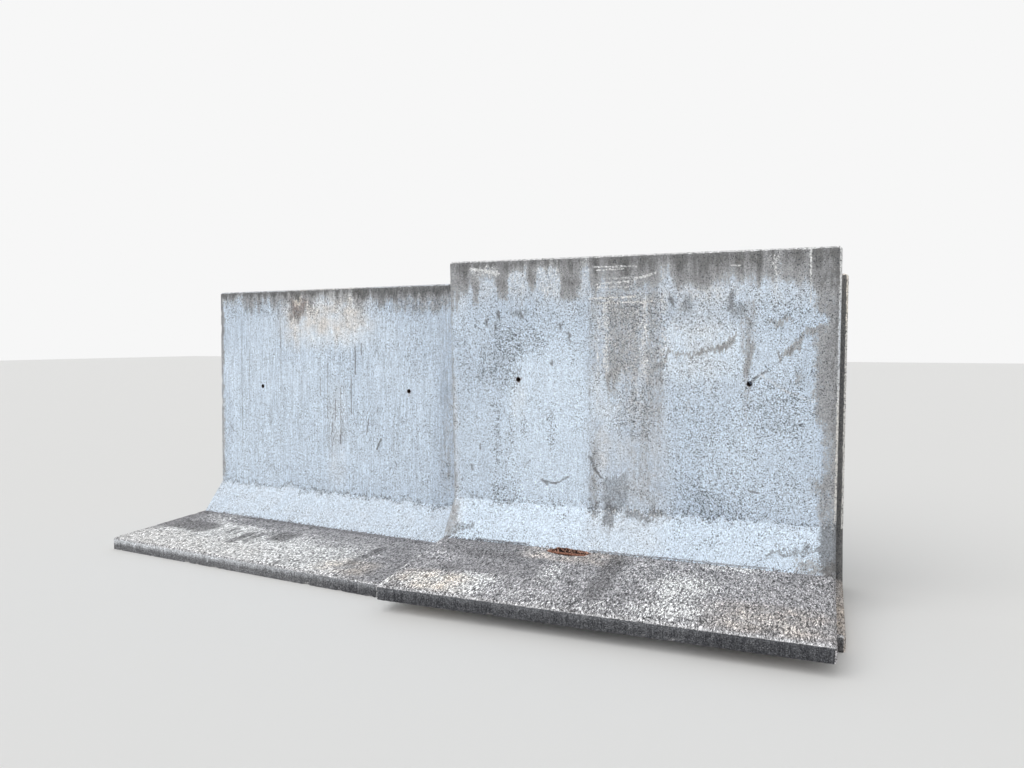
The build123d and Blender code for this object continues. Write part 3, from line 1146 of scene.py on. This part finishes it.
# %% Stains of the left unit
LEFT = {
    "Film": {
        "patches": [
            (-0.1, 1.55, 1.955, 2.1, 0.10, 0.030, 1.40),
            (1.45, 2.6, 1.925, 2.1, 0.10, 0.040, 1.40),
            (-0.1, 2.6, 1.90, 2.0, 0.10, 0.030, 0.30),
            (0.28, 0.50, 1.84, 1.97, 0.06, 0.06, 0.40),
            (0.60, 0.74, 1.86, 1.97, 0.04, 0.05, 0.30),
            (0.80, 0.99, 1.77, 1.95, 0.04, 0.05, 0.75),
            (0.86, 0.93, 1.89, 1.94, 0.015, 0.015, -0.9),
            (1.00, 1.05, 1.86, 1.95, 0.02, 0.04, 0.5),
            (1.20, 1.45, 1.86, 1.95, 0.05, 0.04, 0.35),
            (1.48, 1.56, 1.82, 1.95, 0.025, 0.05, 0.6),
            (1.65, 1.78, 1.84, 1.93, 0.04, 0.04, 0.4),
            (1.85, 2.34, 1.80, 1.93, 0.06, 0.05, 0.45),
            # The next patch is film and painted shade at the right end, where the raised unit stands close
            # in front
            (2.24, 2.6, 0.34, 2.1, 0.10, 0.20, 0.28),
            (0.65, 0.74, 1.25, 1.9, 0.03, 0.20, 0.12),
            (-0.1, 0.045, 0.36, 2.0, 0.015, 0.20, 0.75),
            (-0.1, 0.055, 1.40, 2.0, 0.020, 0.20, 0.50),
            (0.08, 0.72, 1.62, 1.95, 0.10, 0.20, 0.16),
        ],
    },
    "Pale": {
        "patches": [
            (0.86, 0.93, 1.89, 1.94, 0.015, 0.015, 0.6),
            (1.10, 1.50, 1.80, 1.94, 0.08, 0.05, 0.22),
            (0.05, 0.30, 1.84, 1.97, 0.04, 0.03, 0.25),
            (-0.1, 2.6, 0.330, 0.352, 0.02, 0.008, 0.35),
        ],
        "lines": [
            (0.004, 0.36, 0.004, 2.0, 0.003, 0.007, 0.75),
            (0.0, 1.996, 2.49, 1.996, 0.003, 0.007, 0.65),
        ],
    },
    "Dark": {
        "patches": [
            (-0.1, 2.6, 0.352, 0.362, 0.1, 0.005, 0.55),
        ],
        "lines": [
            (1.480, 1.54, 1.482, 1.32, 0.002, 0.007, 0.95),
            (1.541, 1.56, 1.540, 1.47, 0.001, 0.007, 0.80),
            (1.125, 1.29, 1.125, 1.14, 0.001, 0.007, 0.80),
            (1.200, 1.40, 1.200, 0.96, 0.001, 0.007, 0.55),
            (1.280, 1.12, 1.278, 0.94, 0.001, 0.007, 0.70),
            (1.335, 1.20, 1.335, 0.84, 0.001, 0.007, 0.65),
            (1.330, 0.83, 1.330, 0.76, 0.003, 0.007, 0.90),
            (1.441, 1.28, 1.440, 1.00, 0.001, 0.007, 0.85),
            (1.250, 0.93, 1.250, 0.85, 0.001, 0.007, 0.80),
            (0.260, 1.90, 0.260, 0.60, 0.001, 0.007, 0.46),
            (0.348, 1.50, 0.348, 0.95, 0.001, 0.007, 0.50),
            (0.930, 1.30, 0.930, 1.10, 0.001, 0.007, 0.60),
            (0.700, 1.80, 0.702, 1.35, 0.001, 0.007, 0.50),
            (1.850, 1.00, 1.850, 0.70, 0.001, 0.007, 0.45),
            (1.61, 0.97, 1.59, 0.85, 0.002, 0.008, 0.8),
            (1.73, 0.82, 1.69, 0.74, 0.003, 0.010, 0.9),
            (1.03, 0.81, 0.95, 0.77, 0.002, 0.008, 0.5),
            (0.12, 0.85, 0.16, 0.80, 0.002, 0.008, 0.6),
        ],
    },
    "Warm": {
        "patches": [
            # The first two patches are warm tint and painted sunlight, a pool of warm light near the top
            (0.75, 1.60, 1.60, 1.97, 0.2, 0.14, 1.20),
            (0.75, 1.0, 1.75, 1.97, 0.06, 0.06, 0.6),
            (0.0, 0.05, 0.36, 1.15, 0.02, 0.2, 0.6),
            (-0.1, 2.6, 0.10, 0.34, 0.1, 0.04, 0.20),
            (1.22, 1.38, 0.45, 1.2, 0.06, 0.1, 0.30),
        ],
    },
    "Rust": {
        "patches": [
            (1.975, 2.005, 1.165, 1.22, 0.012, 0.015, 0.45),
            (1.985, 1.998, 0.90, 1.17, 0.006, 0.12, 0.16),
            (0.495, 0.505, 0.95, 1.17, 0.006, 0.10, 0.12),
            (0.80, 0.99, 1.77, 1.95, 0.04, 0.05, 0.32),
        ],
    },
    "Pores": {
        "base": 0.06,
        "patches": [
            (-0.1, 2.6, 0.36, 1.1, 0.3, 0.2, 0.08),
            (1.1, 1.6, 0.7, 1.6, 0.2, 0.2, 0.10),
            (-0.1, 2.6, 0.35, 0.375, 0.1, 0.01, 0.50),
            (0.05, 2.34, 1.78, 1.95, 0.1, 0.06, 0.35),
            (1.95, 2.15, 1.25, 1.85, 0.05, 0.1, 0.12),
            (-0.1, 0.6, 1.3, 1.8, 0.1, 0.1, -0.06),
        ],
    },
    # Light is painted light: a lighter haunch and lower stem, and a pool of sunlight near the top
    "Light": {
        "patches": [
            (-0.1, 2.6, 0.05, 0.356, 0.1, 0.008, 0.40),
            (0.10, 2.22, 0.30, 1.35, 0.10, 0.40, 0.45),
            (0.90, 1.55, 1.55, 1.90, 0.10, 0.10, 0.95),
        ],
    },
    "Cream": {
        "patches": [
            (-0.05, 1.45, -0.1, 0.40, 0.15, 0.12, 1.0),
            (1.30, 2.15, -0.1, 0.42, 0.30, 0.12, 0.75),
            (0.45, 0.85, 0.35, 0.66, 0.10, 0.08, 0.75),
            (0.75, 2.1, 0.36, 0.66, 0.20, 0.08, 0.45),
            (0.18, 0.50, 0.62, 0.86, 0.08, 0.06, 0.35),
        ],
    },
    "Soot": {
        "patches": [
            (0.16, 0.55, 0.38, 0.60, 0.06, 0.04, 0.80),
            (0.89, 0.97, 0.26, 0.52, 0.02, 0.04, 0.95),
            (0.99, 1.05, 0.32, 0.56, 0.02, 0.04, 0.80),
            (1.13, 1.32, 0.42, 0.64, 0.04, 0.05, 0.85),
            (0.69, 0.75, 0.44, 0.58, 0.02, 0.03, 0.75),
            (-0.1, 0.16, 0.30, 0.86, 0.06, 0.08, 0.55),
            (0.60, 1.45, 0.66, 0.90, 0.10, 0.04, 0.35),
            (-0.1, 2.6, 0.80, 0.90, 0.1, 0.02, 0.40),
            (-0.1, 0.08, -0.1, 0.3, 0.03, 0.1, 0.30),
            (1.45, 2.3, 0.55, 0.85, 0.12, 0.08, 0.35),
            (2.05, 2.12, 0.16, 0.60, 0.02, 0.05, 0.65),
            (0.37, 0.40, 0.32, 0.42, 0.012, 0.03, 0.8),
            (0.45, 0.49, 0.33, 0.42, 0.012, 0.03, 0.7),
            (0.79, 0.82, 0.42, 0.52, 0.012, 0.03, 0.7),
            (1.59, 1.64, 0.02, 0.10, 0.02, 0.02, 0.7),
            (2.20, 2.6, 0.0, 0.60, 0.08, 0.15, 0.35),
        ],
    },
    "Tint": {
        "patches": [
            (1.9, 2.3, 0.05, 0.30, 0.1, 0.08, 0.50),
            (0.0, 1.4, 0.0, 0.30, 0.3, 0.10, 0.12),
        ],
    },
    "Toe": 0.08,
    "Toe light": 0.85,
    "Streaky": 0.18,
    "Grainy": 0.9,
}
print("left unit:", count_patches(LEFT), "patches")

# %% Stains of the rear unit, of which only a strip shows
REAR = {
    "Film": {
        "patches": [
            (-0.1, 2.6, 1.82, 2.1, 0.05, 0.06, 1.2),
            # The next patch is film and painted shade on the strip beside the raised unit
            (2.20, 2.6, -0.1, 2.1, 0.05, 0.05, 1.95),
            (0.6, 1.2, 1.2, 1.8, 0.1, 0.1, 0.45),
        ],
    },
    "Pale": {
        "lines": [
            # The next line is a painted highlight on the right arris, which catches the sky
            (2.484, 0.40, 2.484, 2.0, 0.003, 0.006, 0.85),
            (0.0, 1.996, 2.49, 1.996, 0.003, 0.007, 0.65),
        ],
    },
    "Dark": {},
    # The second Warm patch warms the right strip and its painted highlight
    "Warm": {"patches": [(-0.1, 2.6, 1.7, 2.1, 0.1, 0.1, 0.4), (2.3, 2.6, 0.0, 2.1, 0.1, 0.1, 0.6)]},
    "Rust": {},
    "Pores": {"base": 0.2},
    # Light is painted light on the haunch, which faces the sky
    "Light": {"patches": [(-0.1, 2.2, 0.05, 0.356, 0.1, 0.008, 0.6)]},
    "Cream": {"patches": [(0.2, 1.8, 0.1, 0.5, 0.3, 0.2, 0.5)]},
    "Soot": {"patches": [(0.0, 2.5, 0.6, 0.85, 0.2, 0.1, 0.4), (2.2, 2.6, -0.1, 0.9, 0.1, 0.1, 0.35)]},
    "Tint": {"patches": [(2.2, 2.6, -0.1, 0.9, 0.1, 0.1, 0.9)]},
    "Toe": 0.1,
    "Toe light": 0.30,
    "Streaky": 0.08,
    "Grainy": 1.0,
}
print("rear unit:", count_patches(REAR), "patches")

# %% [markdown]
# ## One material for each casting
# The place on the surface is turned into the casting's own axes first, so that the same words
# place a stain on any of the three. Each patch adds to the total of the ones before it. The stains
# and the painted light belong to the front, so they fade out through the stem's thickness, and the
# back keeps only part of the film and the plain look of the formed face.

# %% From a table's rows to fields
NOTHING = 1e-7
BATCH = 6


def place_group(graph, tree, given):
    """Adds a node group and feeds its inputs by name."""
    made = graph.node("ShaderNodeGroup", node_tree=tree)
    for name, value in given.items():
        graph.feed(made.inputs[name], value)
    return made.outputs


def flat_place(graph, across, up):
    """A place on a face as a vector."""
    joined = graph.node("ShaderNodeCombineXYZ")
    graph.feed(joined.inputs[0], across)
    graph.feed(joined.inputs[1], up)
    return joined.outputs[0]


def after(graph, total, places_on_face):
    """The same places, worked out only once a total is known, so that few values wait at a time."""
    nothing = (NOTHING, NOTHING, NOTHING)
    return [graph.vector("MULTIPLY_ADD", total, nothing, place) for place in places_on_face]


def patch_inputs(left, right, low, high, soft_across, soft_up, strength):
    """What the soft patch group needs for one row of a table."""
    steepness = (0.5 / soft_across, 0.5 / soft_up, 0.0)
    inner = ((right - left) / 2 - soft_across, (high - low) / 2 - soft_up)
    return {
        "Middle": ((left + right) / 2, (low + high) / 2, 0.0),
        "Steepness": steepness,
        "Head start": (-inner[0] * steepness[0], -inner[1] * steepness[1], 0.0),
        "Strength": strength,
    }


def line_inputs(across, up, end_across, end_up, half_width, soft, strength):
    """What the soft line group needs for one row of a table."""
    run = Vector((end_across - across, end_up - up, 0.0))
    return {
        "Start": (across, up, 0.0),
        "Run": run,
        "Way back": -run / run.length_squared,
        "Inner": half_width,
        "Outer": half_width + soft,
        "Strength": strength,
    }


def field(graph, places_on_face, stains):
    """Adds up the patches and lines of one field. Also hands back the places for the next one."""
    total = stains.get("base", 0.0)
    rows = [(PATCH, patch_inputs(*row), 0) for row in stains.get("patches", ())]
    rows += [(LINE, line_inputs(*row), 1) for row in stains.get("lines", ())]
    rows += [(LINE, line_inputs(*row), 0) for row in stains.get("ragged lines", ())]
    for number, (tree, given, kind) in enumerate(rows):
        total = place_group(graph, tree, {**given, "Place": places_on_face[kind], "Before": total})["Total"]
        if number % BATCH == BATCH - 1:
            places_on_face = after(graph, total, places_on_face)
    return total, places_on_face


def all_fields(graph, places_on_face, stains, names):
    """Every named field of a casting, worked out one after another."""
    found = {}
    for name in names:
        found[name], places_on_face = field(graph, places_on_face, stains[name])
    return found


def parts_of(graph, vector):
    """The three values of a vector."""
    split = graph.node("ShaderNodeSeparateXYZ")
    graph.feed(split.inputs[0], vector)
    return split.outputs


print("a field takes its rows in batches of", BATCH)

# %% The broken faces of the hollow
HOLLOW_REACH = (1.3, 1.4)
HOLLOW_BOTTOM = 0.05
BROKEN_NOISES = {"Speckle": 0.010, "Grit": 0.022, "Grain": 0.016}
BROKEN_SHADE_DEPTHS = (0.003, 0.012)
BROKEN_BEGINS = (0.0015, 0.004)
# Rust near the rim, and painted shade deeper in the hollow
BROKEN_RIM, BROKEN_DEEP_SHADE = paint(206, 160, 140), paint(40, 28, 25)


def broken_colour(graph, colour, true, noises):
    """Colours the broken faces of the hollow, which lie below the foot's top and the haunch: rust near the
    rim, and painted shade that grows darker deeper down.
    """
    foot_top = graph.math("MULTIPLY_ADD", true[1], foot_fall, TOE_THICKNESS)
    start = HAUNCH_START.y - haunch_slope * HAUNCH_START.x
    haunch = graph.math("MULTIPLY_ADD", true[1], haunch_slope, start)
    depth = graph.math("SUBTRACT", graph.math("MAXIMUM", foot_top, haunch), true[2])
    off = graph.vector("SUBTRACT", flat_place(graph, true[0], true[1]), (*HOLLOW_CENTRE, 0.0))
    shares = (1.0 / HOLLOW_HALF_SIZE.x, 1.0 / HOLLOW_HALF_SIZE.y, 0.0)
    from_middle = graph.vector("LENGTH", graph.vector("MULTIPLY", off, shares))
    in_hollow = graph.fade(from_middle, *HOLLOW_REACH)
    in_hollow = graph.math("MULTIPLY", in_hollow, graph.math("LESS_THAN", depth, HOLLOW_BOTTOM))
    # Painted shade: deeper faces go from rust to dark
    uneven = graph.smooth(noisy(graph, noises, depth, BROKEN_NOISES), *BROKEN_SHADE_DEPTHS)
    broken = graph.blend(uneven, BROKEN_RIM, BROKEN_DEEP_SHADE)
    is_broken = graph.math("MULTIPLY", in_hollow, graph.smooth(depth, *BROKEN_BEGINS))
    return graph.blend(is_broken, colour, broken)


print("the hollow's broken faces end", HOLLOW_BOTTOM, "m down")

# %% Concrete of one casting
SHIFTS = {"left": (3.0, 5.0, 1.0), "right": (0.0, 0.0, 0.0), "rear": (7.0, 2.0, 4.0)}
DRIP_NOISES = {"Streak": 0.030, "Fine streak": 0.016}
FRONT_ENDS = 1.10
BACK_STARTS = 1.14
BACK_FILM = 0.55
TOE_FACE = (0.002, 0.010)
TOE_EDGE = (0.010, 0.020)
TOE_EDGE_HEIGHT = (0.074, 0.080)
TOE_BAND_NOISES = {"Fine streak": 0.009, "Streak": 0.010}
TOE_BAND_HEIGHT = (0.034, 0.074)
TOE_BAND_FADES = (0.9, 2.2)
TOE_BAND_AT_RIGHT = 0.30
BORDER_NOISES = {"Speckle": 0.006, "Grit": 0.012}
BORDER = (HAUNCH_START.x - 0.004, HAUNCH_START.x + 0.001)
ROUGHNESS = 0.92
SPECULAR = 0.3


def give_texture(graph, shader, roughness, height, strength, distance):
    """Gives a shader its roughness and its bump."""
    graph.feed(shader.inputs["Roughness"], roughness)
    bump = graph.node("ShaderNodeBump")
    graph.feed(bump.inputs["Strength"], strength)
    graph.feed(bump.inputs["Distance"], distance)
    graph.feed(bump.inputs["Height"], height)
    graph.feed(shader.inputs["Normal"], bump.outputs[0])


def own_place(graph, name):
    """The place on the surface in the casting's own axes."""
    own = graph.node("ShaderNodeMapping", vector_type="TEXTURE")
    graph.feed(own.inputs["Vector"], graph.node("ShaderNodeTexCoord").outputs["Object"])
    graph.feed(own.inputs["Location"], places[name].translation)
    graph.feed(own.inputs["Rotation"], places[name].to_euler())
    return own.outputs[0]


def stem_colour(graph, true, upright, noises, stains):
    """The formed face, with the front's stains and painted light on the front only."""
    fields = all_fields(graph, upright, stains, STEM_FIELDS)
    front = graph.fade(true[1], FRONT_ENDS, BACK_STARTS)
    for kind in ("Dark", "Pale", "Light", "Pores"):
        fields[kind] = graph.math("MULTIPLY", fields[kind], front)
    film_share = graph.math("MULTIPLY_ADD", front, 1.0 - BACK_FILM, BACK_FILM)
    fields["Film"] = graph.math("MULTIPLY", fields["Film"], film_share)
    own = {kind: stains[kind] for kind in ("Streaky", "Grainy")}
    return place_group(graph, formed.tree, {**fields, **noises, **own})["Colour"]


def foot_colour(graph, true, lying, noises, stains):
    """The trowelled foot, with the toe's face darkened by dirt and painted shade, its light band and its
    rubbed edge.
    """
    toe_face = graph.fade(true[1], *TOE_FACE)
    high_up = graph.smooth(true[2], *TOE_EDGE_HEIGHT)
    toe_edge = graph.math("MULTIPLY", graph.fade(true[1], *TOE_EDGE), high_up)
    band_height = noisy(graph, noises, true[2], TOE_BAND_NOISES)
    band = graph.math("MULTIPLY", toe_face, graph.smooth(band_height, *TOE_BAND_HEIGHT))
    band = graph.math("MULTIPLY", band, graph.smooth(true[0], *TOE_BAND_FADES, 1.0, TOE_BAND_AT_RIGHT))
    fields = all_fields(graph, lying, stains, LYING_FIELDS)
    fields["Face"] = graph.math("SUBTRACT", toe_face, graph.math("MULTIPLY", toe_face, stains["Toe"]))
    fields["Face light"] = graph.math("MULTIPLY", band, stains["Toe light"])
    fields["Edge"] = toe_edge
    return place_group(graph, trowelled.tree, {**fields, **noises})["Colour"]


def concrete(name, stains):
    """Weathered concrete for one casting."""
    material, graph, shader = new_material(name + " casting concrete")
    own = own_place(graph, name)
    noises = place_group(graph, NOISES, {"Place": graph.vector("ADD", own, SHIFTS[name])})
    height = noises["Height"]
    noises = {output: noises[output] for output in NOISE_OUTPUTS}
    true = parts_of(graph, own)
    bent = place_group(graph, RAGGED, {"Place": own})
    ragged = parts_of(graph, bent["Place"])
    near = parts_of(graph, bent["Near place"])
    drip = noisy(graph, noises, ragged[2], DRIP_NOISES)
    upright = [flat_place(graph, ragged[0], drip), flat_place(graph, near[0], near[2])]
    lying = [flat_place(graph, ragged[0], ragged[1]), flat_place(graph, near[0], near[1])]
    stem = stem_colour(graph, true, upright, noises, stains)
    foot = foot_colour(graph, true, lying, noises, stains)
    is_stem = graph.smooth(noisy(graph, noises, true[1], BORDER_NOISES), *BORDER)
    colour = graph.blend(is_stem, foot, stem)
    if name == "right":
        colour = broken_colour(graph, colour, true, noises)
    graph.feed(shader.inputs["Base Color"], colour)
    graph.feed(shader.inputs["Specular IOR Level"], SPECULAR)
    give_texture(graph, shader, ROUGHNESS, height, strength=0.5, distance=0.003)
    print(material.name, "has", len(material.node_tree.nodes), "nodes")
    return material


for name, stains in {"left": LEFT, "right": RIGHT, "rear": REAR}.items():
    skins[name].data.materials.append(concrete(name, stains))

# %% [markdown]
# ## Rusty steel
# The sleeves and the bar are bare steel, so they carry dark, patchy rust. One noise picks between
# two browns and roughens the surface at the same places.

# %% Rusty steel for the sleeves and the bare bar
RUST_SCALE = 120.0
RUST_PATCHES = (0.4, 0.6)
RUST_ROUGHNESS = 0.9


def rusty_steel(name, dark, light):
    """Rust that varies between two colours."""
    material, graph, shader = new_material(name)
    surface = graph.node("ShaderNodeTexCoord").outputs["Object"]
    patchy = graph.noise(surface, RUST_SCALE, detail=3.0, roughness=0.7)
    amount = graph.smooth(patchy, *RUST_PATCHES)
    graph.feed(shader.inputs["Base Color"], graph.blend(amount, dark, light))
    give_texture(graph, shader, RUST_ROUGHNESS, patchy, strength=0.6, distance=0.001)
    return material


sleeve_rust = rusty_steel("sleeve rust", paint(42, 34, 30), paint(78, 56, 44))
bar_rust = rusty_steel("bar rust", paint(96, 58, 44), paint(178, 128, 106))
for node, piece in nodes.items():
    if node.endswith("sleeve"):
        piece.material_slots[0].material = sleeve_rust
    elif node == "bare_reinforcing_bar":
        piece.material_slots[0].material = bar_rust
print("steel pieces:", [node for node in nodes if not node.endswith("wall_unit")])
